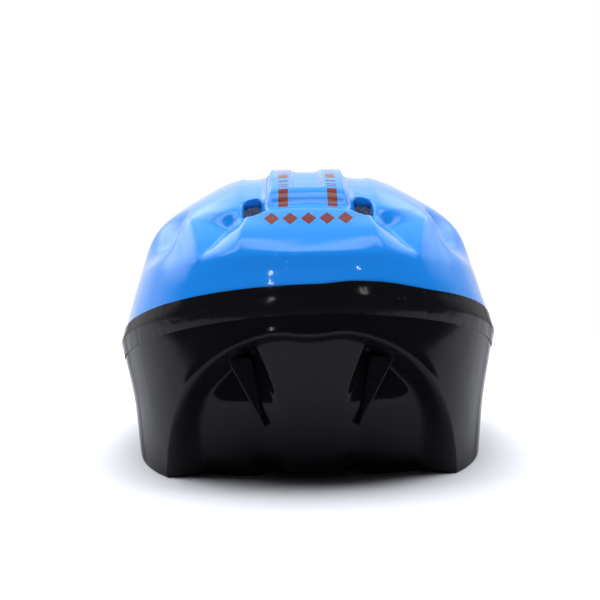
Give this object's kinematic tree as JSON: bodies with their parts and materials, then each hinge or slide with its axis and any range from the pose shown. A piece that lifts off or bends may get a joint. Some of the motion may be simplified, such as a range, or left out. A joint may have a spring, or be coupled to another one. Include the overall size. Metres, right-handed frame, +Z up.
{
  "type": "skating helmet",
  "caption": "Child's skating helmet: ribbed blue upper skin, black lower skin arched at the rear, tape over the seam, and a hollow foam core.",
  "frame": {"origin": "middle of the helmet's box on the floor that the rim stands on", "axes": "+Z up, +Y towards the front of the helmet, -Y the rear that the picture shows"},
  "size_m": [0.199, 0.268, 0.1427],
  "materials": {
    "blue_skin": "glossy thin formed sheet",
    "black_skin": "glossy thin formed sheet",
    "black_tape": "glossy adhesive tape",
    "pale_foam": "expanded foam beads"
  },
  "bodies": {
    "root": {"top_shell": "blue_skin", "lower_shell": "black_skin", "seam_tape": "black_tape", "foam_liner": "pale_foam"}
  },
  "joints": []
}
